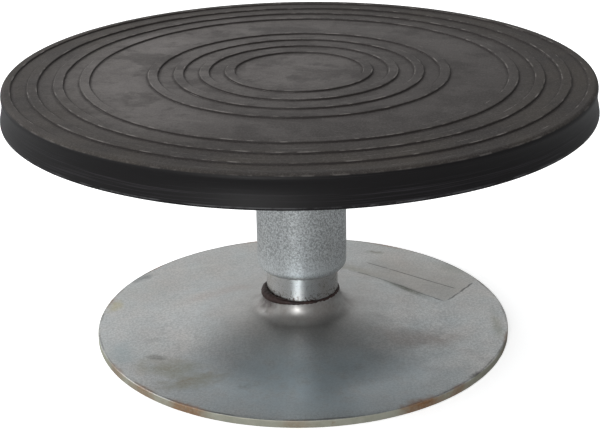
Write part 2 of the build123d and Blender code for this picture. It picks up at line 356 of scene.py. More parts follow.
# %% [markdown]
# Broken edges catch the light, so hardly any corner stays sharp. In a flat section a corner is a vertex,
# and bevelling that vertex puts an arc there.


# %% Rounding and dividing a section
def round_corner(bm, point, radius, segments=4):
    """Round one corner. The bevel starts where an arc of that radius would touch the two sides."""
    sides = [edge.other_vert(point).co - point.co for edge in point.link_edges]
    turn = math.pi - sides[0].angle(sides[1])
    before = set(bm.verts)
    bmesh.ops.bevel(
        bm,
        geom=[point],
        offset=radius * MM * math.tan(turn / 2),
        offset_type="OFFSET",
        segments=segments,
        profile=0.5,
        affect="VERTICES",
        material=-1,
    )
    return [vert for vert in bm.verts if vert not in before]


def cut_long_edges(bm, longest):
    """Divide every edge of the section that is longer than the given millimetres."""
    for edge in list(bm.edges):
        cuts = int(edge.calc_length() / (longest * MM))
        if cuts:
            bmesh.ops.subdivide_edges(bm, edges=[edge], cuts=cuts)


# %% [markdown]
# The spin merges its last step with its first. Edges that lie on the axis are dropped beforehand, because
# spun they would give faces with no area, and the doubles at each pole are merged afterwards.


# %% Spinning a section
def spin_round(bm, around=AROUND):
    """Spin the outline of a section into a closed skin with its faces outwards."""
    bmesh.ops.delete(bm, geom=bm.faces[:], context="FACES_ONLY")
    on_axis = [edge for edge in bm.edges if all(abs(vert.co.x) < 1e-7 for vert in edge.verts)]
    bmesh.ops.delete(bm, geom=on_axis, context="EDGES")
    bmesh.ops.spin(
        bm,
        geom=bm.verts[:] + bm.edges[:],
        cent=(0, 0, 0),
        axis=(0, 0, 1),
        dvec=(0, 0, 0),
        angle=math.tau,
        steps=around,
        use_merge=True,
        use_duplicate=False,
    )
    bmesh.ops.remove_doubles(bm, verts=bm.verts[:], dist=1e-7)
    bmesh.ops.recalc_face_normals(bm, faces=bm.faces[:])


# %% [markdown]
# A finished piece stands for one CAD node: it rides on that node's body and carries the material it is
# given, and the node itself is hidden. The CAD box gives each piece its sizes, and smooth noise keeps it
# from looking machined by a computer.


# %% Handing a piece over
def finish_piece(bm, name, body, node, material):
    """Turn a bmesh into a piece that stands for a CAD node and rides on its body."""
    for face in bm.faces:
        face.smooth = True
    mesh = bpy.data.meshes.new(name)
    bm.to_mesh(mesh)
    bm.free()
    mesh.materials.append(material)
    piece = bpy.data.objects.new(name, mesh)
    bpy.context.scene.collection.objects.link(piece)
    flats = piece.modifiers.new("flat faces stay flat", "WEIGHTED_NORMAL")
    flats.keep_sharp = False
    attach(piece, body)
    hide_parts(node)
    open_edges = sum(1 for edge in mesh.edges if edge.is_loose)
    print(name, "faces", len(mesh.polygons), "loose edges", open_edges)
    return piece


def size_of(node):
    """Outer radius, lowest and highest point of a CAD node, in millimetres."""
    low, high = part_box(node)
    return high.x / MM, low.z / MM, high.z / MM


def unevenness(place, size, seed=0.0):
    """Smooth noise from about -1 to 1 at a place in metres, with lumps of the given millimetres."""
    return noise.noise(Vector(place) / (size * MM) + Vector((seed, 3 * seed, 7 * seed)))


# %% [markdown]
# ## Shared effects
#
# Most of these finishes share the same few effects. Each one is a node group, built once and placed with
# its own values in every material that needs it.
#
# The first gives the places that a turned part is measured by: millimetres, the distance from the axis,
# and a strip that runs round the part, for marks that follow the lathe or a wiping hand.

# %% Group: places on a turned part
tree, inlet, outlet = new_group(
    "turned places",
    {"Wander": 0.0},
    {"Position": "Vector", "Radius": "Float", "Height": "Float", "Round": "Vector", "Upward": "Float"},
)
in_metres = put(tree, "TexCoord").outputs["Object"]
position = put(tree, "VectorMath", {"operation": "SCALE"}, Vector=in_metres, Scale=1 / MM)
position = position.outputs["Vector"]
parts = axes(tree, position)
level = put(tree, "CombineXYZ", X=parts["X"], Y=parts["Y"]).outputs["Vector"]
wobble = sums(tree, "SUBTRACT", cloud(tree, position, 30.0), 0.5)
from_axis = vector_sums(tree, "LENGTH", level)["Value"]
radius = sums(tree, "ADD", from_axis, times(tree, wobble, inlet["Wander"]))
spoke = axes(tree, vector_sums(tree, "NORMALIZE", level)["Vector"])
ring = put(tree, "CombineXYZ", X=spoke["X"], Y=spoke["Y"], Z=sums(tree, "ADD", radius, parts["Z"]))
feed(tree, outlet["Position"], position)
feed(tree, outlet["Radius"], radius)
feed(tree, outlet["Height"], parts["Z"])
feed(tree, outlet["Round"], ring.outputs["Vector"])
feed(tree, outlet["Upward"], axes(tree, put(tree, "NewGeometry").outputs["Normal"])["Z"])

# %% [markdown]
# Cloudiness is the slow change of tone that every used surface has. Scuffs are thin broken lines that all
# run one way. A stain is one blot with a place, a length, a width and a ragged edge. A band of wear and
# painted light is a broken line at one radius or height, where hands or clay rub an edge; at a few edges
# it also lays painted shade and a painted highlight. Speckle is the fine dark and light grain of rubber
# or of a zinc coat, as a tone and as a height.

# %% Group: cloudiness
tree, inlet, outlet = new_group(
    "cloudiness", {"Position": None, "Size": 20.0, "Detail": 4.0, "Contrast": 2.0}, {"Mask": "Float"}
)
patches = cloud(tree, inlet["Position"], inlet["Size"], inlet["Detail"], 0.55)
centred = times(tree, sums(tree, "SUBTRACT", patches, 0.5), inlet["Contrast"])
feed(tree, outlet["Mask"], sums(tree, "ADD", centred, 0.5, clamp=True))

# %% Group: scuffs
stroke = {"Position": None, "Turn": 0.0, "Length": 30.0, "Width": 0.5, "Amount": 0.3}
tree, inlet, outlet = new_group("scuffs", stroke, {"Mask": "Float"})
turned = put(tree, "VectorRotate", {"rotation_type": "Z_AXIS"}, Vector=inlet["Position"])
feed(tree, turned.inputs["Angle"], inlet["Turn"])
squeeze = put(tree, "CombineXYZ", X=inlet["Length"], Y=inlet["Width"], Z=inlet["Width"])
lines = vector_sums(tree, "DIVIDE", turned.outputs["Vector"], squeeze.outputs["Vector"])["Vector"]
strokes = cloud(tree, lines, 1.0, 2.0, 0.6)
patchy = cloud(tree, inlet["Position"], 17.0, 2.0)
level = sums(tree, "SUBTRACT", 0.86, times(tree, inlet["Amount"], patchy))
feed(tree, outlet["Mask"], ranged(tree, strokes, level, sums(tree, "ADD", level, 0.12)))

# %% Group: stain
spot = {"Position": None, "Centre": (0.0, 0.0, 0.0), "Spread": (10.0, 5.0, 100.0)}
spot.update({"Turn": (0.0, 0.0, 0.0), "Ragged": 0.6, "Grain": 5.0})
tree, inlet, outlet = new_group("stain", spot, {"Mask": "Float"})
place = put(tree, "Mapping", {"vector_type": "TEXTURE"}, Vector=inlet["Position"])
feed(tree, place.inputs["Location"], inlet["Centre"])
feed(tree, place.inputs["Rotation"], inlet["Turn"])
feed(tree, place.inputs["Scale"], inlet["Spread"])
reach = vector_sums(tree, "LENGTH", place.outputs["Vector"])["Value"]
rough = sums(tree, "SUBTRACT", cloud(tree, inlet["Position"], inlet["Grain"], 5.0, 0.6), 0.5)
edge = sums(tree, "MULTIPLY_ADD", rough, times(tree, inlet["Ragged"], 2.6), reach)
blot = ranged(tree, edge, 0.15, 1.25, 1.0, 0.0)
fine_breaks = cloud(tree, inlet["Position"], times(tree, inlet["Grain"], 0.25), 4.0, 0.6)
kept = ranged(tree, fine_breaks, 0.25, 0.6, 0.45, 1.0)
feed(tree, outlet["Mask"], times(tree, blot, kept))

# %% Group: band of wear and painted light
band = {"Position": None, "Value": 0.0, "Place": 0.0, "Width": 0.5, "Breaks": 8.0, "Cover": 0.5}
tree, inlet, outlet = new_group("band of wear and painted light", band, {"Mask": "Float"})
apart = sums(tree, "ABSOLUTE", sums(tree, "SUBTRACT", inlet["Value"], inlet["Place"]))
line = ranged(tree, sums(tree, "DIVIDE", apart, inlet["Width"]), 0.4, 1.0, 1.0, 0.0)
breaks = cloud(tree, inlet["Position"], inlet["Breaks"], 4.0, 0.65)
bare = sums(tree, "SUBTRACT", 1.0, inlet["Cover"])
kept = ranged(tree, breaks, sums(tree, "SUBTRACT", bare, 0.1), sums(tree, "ADD", bare, 0.1))
feed(tree, outlet["Mask"], times(tree, line, kept))

# %% Group: speckle
tree, inlet, outlet = new_group(
    "speckle", {"Position": None, "Size": 1.0, "Sharpness": 3.0}, {"Mask": "Float", "Height": "Float"}
)
coarse = cloud(tree, inlet["Position"], inlet["Size"], 3.0, 0.6)
fine = cloud(tree, inlet["Position"], times(tree, inlet["Size"], 0.45), 2.0, 0.5)
both = sums(tree, "ADD", times(tree, coarse, 0.6), times(tree, fine, 0.4))
sharp = times(tree, sums(tree, "SUBTRACT", both, 0.5), inlet["Sharpness"])
feed(tree, outlet["Mask"], sums(tree, "ADD", sharp, 0.5, clamp=True))
feed(tree, outlet["Height"], both)
print("effects", sorted(group.name for group in bpy.data.node_groups))

# %% [markdown]
# A material mostly wants one mask of a group at its own places, so two helpers ask for just that.


# %% Masks from the groups
def mark(tree, name, at, **inputs):
    """The mask of a node group, placed at the positions of a turned part."""
    return use(tree, name, Position=at["Position"], **inputs)["Mask"]


def stain(tree, position, centre, spread, turn=0.0, ragged=0.6, grain=5.0):
    """The mask of one ragged blot with its centre, half sizes and turn, in millimetres."""
    shape = {"Centre": centre, "Spread": spread, "Turn": (0.0, 0.0, turn)}
    return use(tree, "stain", Position=position, Ragged=ragged, Grain=grain, **shape)["Mask"]

# %% [markdown]
# ## The rubber cover
#
# A thick black rubber mat is moulded over the wooden disc and down its side. Its top carries raised
# rings, four close to the middle and three near the rim, which grip a wooden board or a lump of clay.
# Use has worn their edges and left clay dust in the surface, so the top is a cloudy grey and only the
# upright faces are still black.
#
# One could cut the rings with a boolean, but a spun section gives clean loops all round. After the spin
# the rings are lowered and shifted a little from place to place, because moulded rubber is never true.
#
# The finish comes first. Its ground is a slow change between two greys, with blotches, smears and the
# strokes of a wiping hand in two directions.

# %% Cover finish
CHALK = srgb(104, 100, 99)
CHALK_LIGHT = srgb(117, 113, 110)
CHALK_DARK = srgb(77, 73, 72)
CHALK_WORN_AND_SHADED = srgb(46, 43, 42)
GRIME_AND_SHADE = srgb(40, 36, 35)
RING_WALL = srgb(50, 46, 45)
BLACK_RUBBER = (0.0066, 0.0060, 0.0066)
OLIVE_DUST = srgb(84, 77, 66)
COVER_EDGE, COVER_LOW, _ = size_of("turntable_cover")
RING_PITCH = 13.0
RIDGE_WIDTH = 5.0
FIRST_INNER, FIRST_OUTER = 32.5, 105.5
RIDGE_STARTS = [FIRST_INNER + RING_PITCH * i for i in range(4)]
RIDGE_STARTS += [FIRST_OUTER + RING_PITCH * i for i in range(3)]
RING_SHIFT = (FIRST_OUTER - FIRST_INNER) % RING_PITCH
BARE_BAND_MIDDLE = 92.0

rubber, tree, shader = new_material("chalky rubber")
at = use(tree, "turned places", Wander=0.6)
slow = mark(tree, "cloudiness", at, Size=42.0, Contrast=2.6)
blotches = mark(tree, "cloudiness", at, Size=7.0, Detail=6.0, Contrast=2.4)
smears = mark(tree, "cloudiness", at, Size=19.0, Detail=7.0, Contrast=5.0)
wiped = mark(tree, "scuffs", at, Turn=0.35, Length=34.0, Width=1.3, Amount=0.55)
crossed = mark(tree, "scuffs", at, Turn=-0.9, Length=20.0, Width=0.8, Amount=0.5)
chalk = blended(tree, slow, CHALK_DARK, CHALK)
chalk = blended(tree, times(tree, blotches, 0.45), chalk, CHALK_LIGHT)
chalk = blended(tree, ranged(tree, smears, 0.0, 0.6, 0.45, 0.0), chalk, CHALK_WORN_AND_SHADED)
chalk = blended(tree, times(tree, wiped, 0.35), chalk, CHALK_LIGHT)
chalk = blended(tree, times(tree, crossed, 0.25), chalk, CHALK_DARK)

# %% [markdown]
# The dust does not lie evenly. The middle is dusty, the ring zones hold less, and it thins out towards
# the rim. Painted shade darkens the top towards the right and towards the front and back, away from
# the light on the left. A little olive dust is left near the rim.

# %% Where the dust and the painted shade lie
INNER_RINGS_FADE = (76.0, 84.0)
TOWARDS_RIM = (94.0, 138.0)

among_rings = ranged(tree, at["Radius"], FIRST_INNER - 6.0, FIRST_INNER + 2.0)
among_rings = times(tree, among_rings, ranged(tree, at["Radius"], *INNER_RINGS_FADE, 1.0, 0.0))
near_rim = ranged(tree, at["Radius"], *TOWARDS_RIM)
less_handled = strongest(tree, times(tree, among_rings, 0.35), near_rim)
chalk = blended(tree, times(tree, less_handled, 0.8), chalk, CHALK_WORN_AND_SHADED)
# Painted shade: the top turns darker away from the left, where the light comes from, and towards the
# front and back.
towards_shaded_side = axes(tree, stretched(tree, at["Position"], turn=-0.42, scale=(100.0, 100.0, 100.0)))["X"]
chalk = blended(tree, ranged(tree, towards_shaded_side, -1.2, 1.7, 0.0, 0.85), chalk, CHALK_WORN_AND_SHADED)
from_middle = sums(tree, "ABSOLUTE", axes(tree, at["Position"])["Y"])
shaded_front_and_back = ranged(tree, from_middle, 40.0, 135.0, 0.0, 0.6)
shaded_front_and_back = times(tree, shaded_front_and_back, ranged(tree, towards_shaded_side, -1.2, 0.4))
chalk = blended(tree, shaded_front_and_back, chalk, CHALK_WORN_AND_SHADED)
dusty_patches = mark(tree, "cloudiness", at, Size=26.0, Contrast=3.0)
chalk = blended(tree, times(tree, near_rim, dusty_patches, 0.2), chalk, OLIVE_DUST)

# %% [markdown]
# Each ring has dark grime and painted shade in the corners at its feet, and a pale line along its crest
# that is partly rubbed wear and partly a painted highlight. All rings have one pitch, so the remainder of
# the radius after whole pitches says how far a place is from the nearest wall, and one mask draws every
# ring. The outer rings are out of step with the inner ones, so they are shifted first.

# %% Grime, painted shade and painted highlight along the rings
outer_shift = times(tree, sums(tree, "GREATER_THAN", at["Radius"], BARE_BAND_MIDDLE), RING_SHIFT)
from_first = sums(tree, "SUBTRACT", sums(tree, "SUBTRACT", at["Radius"], FIRST_INNER), outer_shift)
phase = sums(tree, "FLOORED_MODULO", from_first, RING_PITCH)
ringed = strongest(tree, among_rings, ranged(tree, at["Radius"], FIRST_OUTER - 2.5, FIRST_OUTER - 1.5))
from_crest = sums(tree, "ABSOLUTE", sums(tree, "SUBTRACT", phase, RIDGE_WIDTH / 2))
past_wall = sums(tree, "SUBTRACT", from_crest, RIDGE_WIDTH / 2)
to_next = sums(tree, "SUBTRACT", RING_PITCH, phase)
to_wall = sums(tree, "MINIMUM", sums(tree, "ABSOLUTE", past_wall), to_next)
on_crest = sums(tree, "LESS_THAN", past_wall, 0.0)
beside_crest = sums(tree, "SUBTRACT", 1.0, on_crest)
breaks = mark(tree, "cloudiness", at, Size=9.0, Detail=5.0, Contrast=3.0)
# Painted shade: the corners at the feet of the rings are darkened, partly as grime.
grime_and_shade = times(tree, ranged(tree, to_wall, 0.2, 1.7, 1.0, 0.0), ringed)
grime_and_shade = times(tree, grime_and_shade, ranged(tree, breaks, 0.0, 1.0, 0.45, 0.9), beside_crest)
# Painted highlight: the edges of each crest are made paler, partly as rubbed wear.
rubbed_and_highlight = times(tree, ranged(tree, to_wall, 0.15, 0.9, 1.0, 0.0), on_crest)
rubbed_and_highlight = times(tree, rubbed_and_highlight, ranged(tree, breaks, 0.45, 0.9, 0.0, 0.8), ringed)
chalk = blended(tree, grime_and_shade, chalk, GRIME_AND_SHADE)
chalk = blended(tree, rubbed_and_highlight, chalk, CHALK_LIGHT)
pepper = mark(tree, "speckle", at, Size=1.0, Sharpness=4.0)
chalk = blended(tree, ranged(tree, pepper, 0.5, 1.0, 0.0, 0.16), chalk, CHALK_LIGHT)
chalk = blended(tree, ranged(tree, pepper, 0.0, 0.5, 0.26, 0.0), chalk, GRIME_AND_SHADE)

# %% [markdown]
# The skirt was never chalky. It is black and half glossy, with fine lines round it from the mould and a
# broken grey line along its hem, partly wear and partly a painted highlight where the flared hem catches
# the light. Which way a face looks decides between the two: up is chalk, out is black. The walls of the
# rings are a dark grey between them.

# %% Black skirt and ring walls
RIM_BAND_MIDDLE = (145.5, 147.5)
HEM = COVER_LOW + 1.1

lying = ranged(tree, at["Upward"], 0.42, 0.66)
mould_lines = use(tree, "scuffs", Position=at["Round"], Length=0.5, Width=0.25, Amount=0.55)["Mask"]
black = blended(tree, mould_lines, BLACK_RUBBER, srgb(44, 42, 45))
# The grey line along the hem is partly wear and partly a painted highlight.
hem_wear_and_highlight = mark(tree, "band of wear and painted light", at, Value=at["Height"], Place=HEM, Width=0.4, Breaks=9.0, Cover=0.5)
black = blended(tree, times(tree, hem_wear_and_highlight, 0.6), black, srgb(92, 92, 94))
inside_rim = ranged(tree, at["Radius"], *RIM_BAND_MIDDLE, 1.0, 0.0)
black = blended(tree, inside_rim, black, RING_WALL)
feed(tree, shader.inputs["Base Color"], blended(tree, lying, black, chalk))
feed(tree, shader.inputs["Roughness"], ranged(tree, lying, 0.0, 1.0, 0.46, 0.8))
shader.inputs["Specular IOR Level"].default_value = 0.2
relief(tree, shader, 0.25, 0.15, use(tree, "speckle", Position=at["Position"], Size=0.9)["Height"])
print("finished", rubber.name, "nodes", len(tree.nodes))

# %% [markdown]
# The shape is the CAD section again with softer corners: every ring edge is rounded by half a
# millimetre, the shoulder by nearly three, and the skirt draws in at a waist above its flared hem.

# %% Cover shape
TABLE_RADIUS = 150.0
SKIRT_HEIGHT = 16.0
CROWN = 1.4
RIDGE_HEIGHT = 1.2
RIM_BAND_START = 144.5
SHOULDER = 2.8
SHOULDER_START = TABLE_RADIUS - 3.0
RIM_TOP = COVER_LOW + SKIRT_HEIGHT
WAIST_RADIUS, WAIST_HEIGHT = 149.2, RIM_TOP - 7.2
CORE_RADIUS, CORE_LOW, CORE_TOP = size_of("core_disc")
LIP_RADIUS = 136.0
FIELD = RIM_TOP - RIDGE_HEIGHT

corners = [(0.0, FIELD)]
roundings = {}
for start in RIDGE_STARTS:
    for radius, height, rounding in (
        (start, FIELD, 0.4),
        (start, RIM_TOP, 0.55),
        (start + RIDGE_WIDTH, RIM_TOP, 0.55),
        (start + RIDGE_WIDTH, FIELD, 0.4),
    ):
        roundings[len(corners)] = (rounding, 3)
        corners.append((radius, height))
for radius, height, rounding, segments in (
    (RIM_BAND_START, FIELD, 0.4, 3),
    (RIM_BAND_START, RIM_TOP, 0.55, 3),
    (TABLE_RADIUS, RIM_TOP, SHOULDER, 8),
    (WAIST_RADIUS, WAIST_HEIGHT, 17.0, 6),
    (COVER_EDGE, HEM, 1.5, 3),
    (COVER_EDGE, COVER_LOW, 0.5, 3),
    (LIP_RADIUS, COVER_LOW, 0.4, 2),
):
    roundings[len(corners)] = (rounding, segments)
    corners.append((radius, height))
corners += [(LIP_RADIUS, CORE_LOW), (CORE_RADIUS, CORE_LOW), (CORE_RADIUS, CORE_TOP), (0.0, CORE_TOP)]

# %% [markdown]
# Spun, the cover is perfect, and so looks false. Its top is crowned by a little over a millimetre towards
# the middle, the rings drift and are worn down here and there, and the skirt is pulled in unevenly.

# %% Spinning and wearing the cover
bm, points = section(corners)
for index, (rounding, segments) in roundings.items():
    round_corner(bm, points[index], rounding, segments)
cut_long_edges(bm, 4.5)
spin_round(bm)

for vert in bm.verts:
    radius = vert.co.xy.length / MM
    height = vert.co.z / MM
    on_top = height > FIELD - 0.2
    if not on_top and radius < CORE_RADIUS + 0.5:
        continue
    if on_top and radius < RIM_BAND_START:
        vert.co.z += CROWN * (1 - (radius / TABLE_RADIUS) ** 2) * MM
    if on_top and FIRST_INNER - 2 < radius < SHOULDER_START:
        spoke = vert.co.xy.normalized() * radius * MM
        drift = 0.28 * unevenness((*spoke, 0.0), 24.0, 1.0) + 0.12 * unevenness((*spoke, 0.0), 7.0, 2.0)
        raised = max(0.0, height - FIELD) / RIDGE_HEIGHT
        worn = 0.16 + 0.16 * unevenness((*spoke, 0.0), 30.0, 3.0)
        vert.co.xy *= (radius + drift) / radius
        vert.co.z -= raised * worn * MM
    elif radius >= CORE_RADIUS:
        pulled = 0.09 + 0.09 * unevenness(vert.co, 38.0, 4.0)
        vert.co.xy *= (radius - pulled) / radius
finish_piece(bm, "ridged_cover", "turntable", "turntable_cover", rubber)

# %% [markdown]
# ## The dished base
#
# The base is a 4 mm steel disc, pressed into a shallow cone that leaves a flat rim, with a short neck
# drawn up in the middle for the post. It was zinc plated and has been on a studio floor for years: the
# zinc has gone satin, a paper label was pulled off, damp has rusted the rim, and glaze and clay water
# left olive and brown stains. Each stain is one row of a table, in millimetres from the axis.

# %% Stains on the base
STAIN_MARKS = [
    # centre x, y; half length, half width; turn; raggedness; grain; strength; colour
    ((-69, -56), (20, 10), -0.2, 0.7, 9.0, 0.60, srgb(136, 128, 98)),
    ((-57, -70), (17, 9), 0.3, 0.8, 6.0, 0.65, srgb(132, 120, 86)),
    ((-80, -24), (5, 3.5), 0.5, 0.9, 3.0, 0.25, srgb(104, 104, 98)),
    ((-76, -44), (8, 3.5), -0.3, 0.9, 2.5, 0.55, srgb(98, 96, 86)),
    ((-30, -77), (5, 3.2), 0.2, 0.9, 2.5, 0.30, srgb(84, 92, 90)),
    ((60, -31), (25, 12), 0.15, 0.7, 11.0, 0.36, srgb(146, 124, 114)),
    ((-93, 54), (12, 3.2), 0.75, 0.6, 5.0, 0.60, srgb(96, 98, 98)),
    ((-42, 26), (26, 7), 0.3, 0.7, 12.0, 0.28, srgb(176, 158, 152)),
    ((-61, 70), (24, 2.2), 0.3, 0.5, 9.0, 0.35, srgb(205, 205, 200)),
    ((-95, -40), (10, 12), 0.0, 0.7, 8.0, 0.35, srgb(150, 172, 178)),
    ((-104, 18), (8, 5), 1.3, 0.8, 5.0, 0.50, srgb(176, 166, 112)),
    ((30, 60), (20, 6), -0.7, 0.8, 6.0, 0.35, srgb(134, 136, 110)),
    ((44, 87), (6, 2.5), -0.3, 0.8, 3.0, 0.60, srgb(112, 110, 88)),
    ((88, 62), (12, 8), -0.6, 0.8, 7.0, 0.30, srgb(142, 148, 136)),
    ((87, -67), (7, 2.0), 0.7, 0.9, 2.0, 0.70, srgb(70, 68, 62)),
    ((104, -12), (3.5, 18), 0.0, 0.7, 8.0, 0.35, srgb(150, 152, 128)),
    ((2, -97), (30, 13), 0.0, 0.4, 9.0, 0.30, srgb(190, 206, 214)),
]

PLATE_EDGE, PLATE_LOW, NECK_TOP = size_of("base_plate")
SHEET = 4.0
THROUGH = 200.0
print("stains", len(STAIN_MARKS))

# %% [markdown]
# Under the stains the zinc has three layers of tone: slow clouds, a blue or pink cast in patches, and the
# fine lines that the rolling mill left along one direction. Spangle, the frozen crystals of the coat,
# speckles it all. It is duller behind the column and near the neck. A cool pale patch in front is a
# painted reflection: it brightens the zinc where the plate mirrors the dark underside of the disc.

# %% Zinc of the base
DARKER_ROUND_NECK = (21.0, 66.0)

zinc_plate, tree, shader = new_material("stained zinc plate")
at = use(tree, "turned places", Wander=2.0)
slow = mark(tree, "cloudiness", at, Size=34.0, Contrast=2.0)
patches = mark(tree, "cloudiness", at, Size=9.0, Detail=6.0, Contrast=2.2)
tints = mark(tree, "cloudiness", at, Size=23.0, Detail=2.0, Contrast=4.0)
rolled = stretched(tree, at["Position"], scale=(46.0, 0.9, 3.0))
grain_lines = cloud(tree, rolled, 1.0, 4.0, 0.65)
colour = blended(tree, slow, (0.55, 0.55, 0.54), (0.67, 0.67, 0.655))
colour = blended(tree, times(tree, patches, 0.45), colour, (0.51, 0.53, 0.535))
behind = axes(tree, at["Position"])["Y"]
colour = blended(tree, ranged(tree, behind, -10.0, 50.0, 0.0, 0.7), colour, (0.46, 0.455, 0.435))
colour = blended(tree, times(tree, tints, 0.28), colour, (0.45, 0.54, 0.58))
pinkish = mark(tree, "cloudiness", at, Size=17.0, Detail=3.0, Contrast=4.0)
colour = blended(tree, times(tree, pinkish, 0.16), colour, (0.62, 0.50, 0.46))
colour = blended(tree, ranged(tree, grain_lines, 0.35, 0.75, 0.0, 0.16), colour, (0.66, 0.66, 0.64))
spangle = mark(tree, "speckle", at, Size=1.3, Sharpness=6.0)
colour = blended(tree, ranged(tree, spangle, 0.0, 1.0, 0.42, 0.0), colour, (0.22, 0.23, 0.23))
# Painted reflection: the front of the plate is made paler and cooler, where it mirrors the underside of
# the disc.
painted_front_reflection = stain(tree, at["Position"], (4.0, -74.0, 0.0), (84.0, 46.0, THROUGH), ragged=0.3, grain=30.0)
colour = blended(tree, times(tree, painted_front_reflection, 0.7), colour, (0.56, 0.67, 0.73))
# The colour is made darker round the neck, fading out over the cone.
near_neck = ranged(tree, at["Radius"], *DARKER_ROUND_NECK, 0.6, 0.0)
colour = blended(tree, near_neck, colour, (0.40, 0.39, 0.375))

stained = 0.0
for (x, y), (half_length, half_width), turn, ragged, grain_size, strength, stain_colour in STAIN_MARKS:
    spread = (half_length, half_width, THROUGH)
    mask = stain(tree, at["Position"], (x, y, 0.0), spread, turn, ragged, grain_size)
    mask = times(tree, mask, strength)
    colour = blended(tree, mask, colour, stain_colour)
    stained = strongest(tree, stained, mask)

# %% [markdown]
# Rust starts where the coat is broken: at the cut edge of the disc, and in patches that creep inwards
# from it. The heat of the weld has browned the zinc round the neck, most of all where the bead is fat.

# %% Weld burn
HEAT_REACH = (21.5, 32.0)

burn = ranged(tree, at["Radius"], *HEAT_REACH, 1.0, 0.0)
burn_patches = mark(tree, "cloudiness", at, Size=8.0, Contrast=3.0)
burn = times(tree, burn, ranged(tree, burn_patches, 0.0, 1.0, 0.15, 0.5))
scorched = stain(tree, at["Position"], (-20.0, -8.0, NECK_TOP - 2.0), (10.0, 4.5, 7.0), -1.2, 0.7, 4.0)
colour = blended(tree, burn, colour, srgb(116, 106, 101))
colour = blended(tree, scorched, colour, srgb(60, 42, 40))
burn = strongest(tree, burn, scorched)

# %% Edge and rust
RUST_LIGHT = srgb(176, 124, 74)
RUST_DARK = srgb(104, 74, 54)
RUST_PATCHES = [
    # azimuth in degrees, half length along the rim, half width across it, strength
    (-59, 15, 5.0, 0.95),
    (-47, 8, 3.0, 0.60),
    (-121, 14, 4.0, 0.85),
    (-136, 12, 3.0, 0.60),
    (-150, 10, 2.6, 0.45),
    (168, 9, 3.5, 0.40),
    (-92, 9, 2.0, 0.35),
    (-14, 10, 2.2, 0.35),
    (62, 12, 3.5, 0.60),
    (104, 9, 3.0, 0.70),
    (141, 7, 2.6, 0.50),
]
rust_tone = blended(tree, cloud(tree, at["Position"], 2.4, 4.0, 0.6), RUST_DARK, RUST_LIGHT)
edge_side = ranged(tree, at["Upward"], 0.55, 0.95, 1.0, 0.0)
edge_side = times(tree, edge_side, ranged(tree, at["Radius"], PLATE_EDGE - 3.0, PLATE_EDGE - 1.5))
edge_clouds = cloud(tree, at["Position"], 6.0, 4.0, 0.6)
edge_tone = blended(tree, edge_clouds, srgb(146, 144, 122), srgb(190, 190, 174))
colour = blended(tree, times(tree, edge_side, 0.85), colour, edge_tone)
arris = mark(
    tree, "band of wear and painted light", at, Value=at["Radius"], Place=PLATE_EDGE - 0.9, Width=0.7, Breaks=14.0, Cover=0.55
)
colour = blended(tree, times(tree, arris, 0.55), colour, srgb(74, 72, 62))

rust_mask = 0.0
for azimuth, half_length, half_width, strength in RUST_PATCHES:
    azimuth = math.radians(azimuth)
    on_edge = (PLATE_EDGE * math.cos(azimuth), PLATE_EDGE * math.sin(azimuth), SHEET / 2)
    spread = (half_length, half_width, 8.0)
    mask = stain(tree, at["Position"], on_edge, spread, azimuth + math.pi / 2, ragged=0.7)
    rust_mask = strongest(tree, rust_mask, times(tree, mask, strength))
spread_rust = ranged(tree, cloud(tree, at["Position"], 9.0, 6.0, 0.62), 0.56, 0.68, 0.0, 0.55)
rust_mask = strongest(tree, rust_mask, times(tree, spread_rust, edge_side))
colour = blended(tree, rust_mask, colour, rust_tone)

# %% [markdown]
# A paper label was pulled off behind the column. It left a slightly paler field that fades out at two
# sides, a few broken lines of dried glue and one greenish wedge. Nothing can be read there. The field has
# its own axes, along and across the label, from one of its corners.

# %% Where the label was
LABEL_CORNER = (79.0, 17.0)
LABEL_TURN = math.radians(142)

on_label = stretched(tree, at["Position"], turn=LABEL_TURN, centre=(*LABEL_CORNER, 0.0))
label_axes = axes(tree, on_label)
along = label_axes["X"]
across = times(tree, label_axes["Y"], -1.0)
ragged_edge = times(tree, sums(tree, "SUBTRACT", cloud(tree, at["Position"], 6.0, 5.0), 0.5), 3.0)
along_rough = sums(tree, "ADD", along, ragged_edge)
across_rough = sums(tree, "ADD", across, ragged_edge)
inside = times(
    tree,
    ranged(tree, along_rough, 0.0, 1.5),
    ranged(tree, along_rough, 50.0, 80.0, 1.0, 0.0),
    ranged(tree, across_rough, 0.0, 1.5),
    ranged(tree, across_rough, 22.0, 48.0, 1.0, 0.0),
)
colour = blended(tree, times(tree, inside, 0.30), colour, srgb(192, 184, 174))


def dark_line(value, place, width, low, high, other):
    """A thin broken line of glue at one place across the label, between two places along it."""
    band = mark(tree, "band of wear and painted light", at, Value=value, Place=place, Width=width, Breaks=7.0, Cover=0.62)
    started = ranged(tree, other, low, low + 1.5)
    ended = ranged(tree, other, high - 1.5, high, 1.0, 0.0)
    return times(tree, band, started, ended)


glue = dark_line(across, 18.0, 0.6, 4.0, 66.0, along)
glue = strongest(tree, glue, dark_line(along_rough, 0.0, 0.7, 2.0, 30.0, across))
glue = strongest(tree, glue, dark_line(across_rough, 0.0, 0.6, 0.0, 60.0, along))
glue = times(tree, glue, ranged(tree, at["Upward"], 0.4, 0.8))
colour = blended(tree, times(tree, glue, 0.6), colour, srgb(62, 60, 56))
wedge = stain(tree, on_label, (25.0, 1.4, 0.0), (17.0, 3.4, THROUGH), -0.08, 0.25, 4.0)
colour = blended(tree, times(tree, wedge, 0.9), colour, srgb(80, 84, 68))

# %% [markdown]
# Clean zinc is a metal and mirrors the room. Rust, stains, glue and burnt coat are not, so wherever one
# of them lies the plate turns less metallic and rougher.

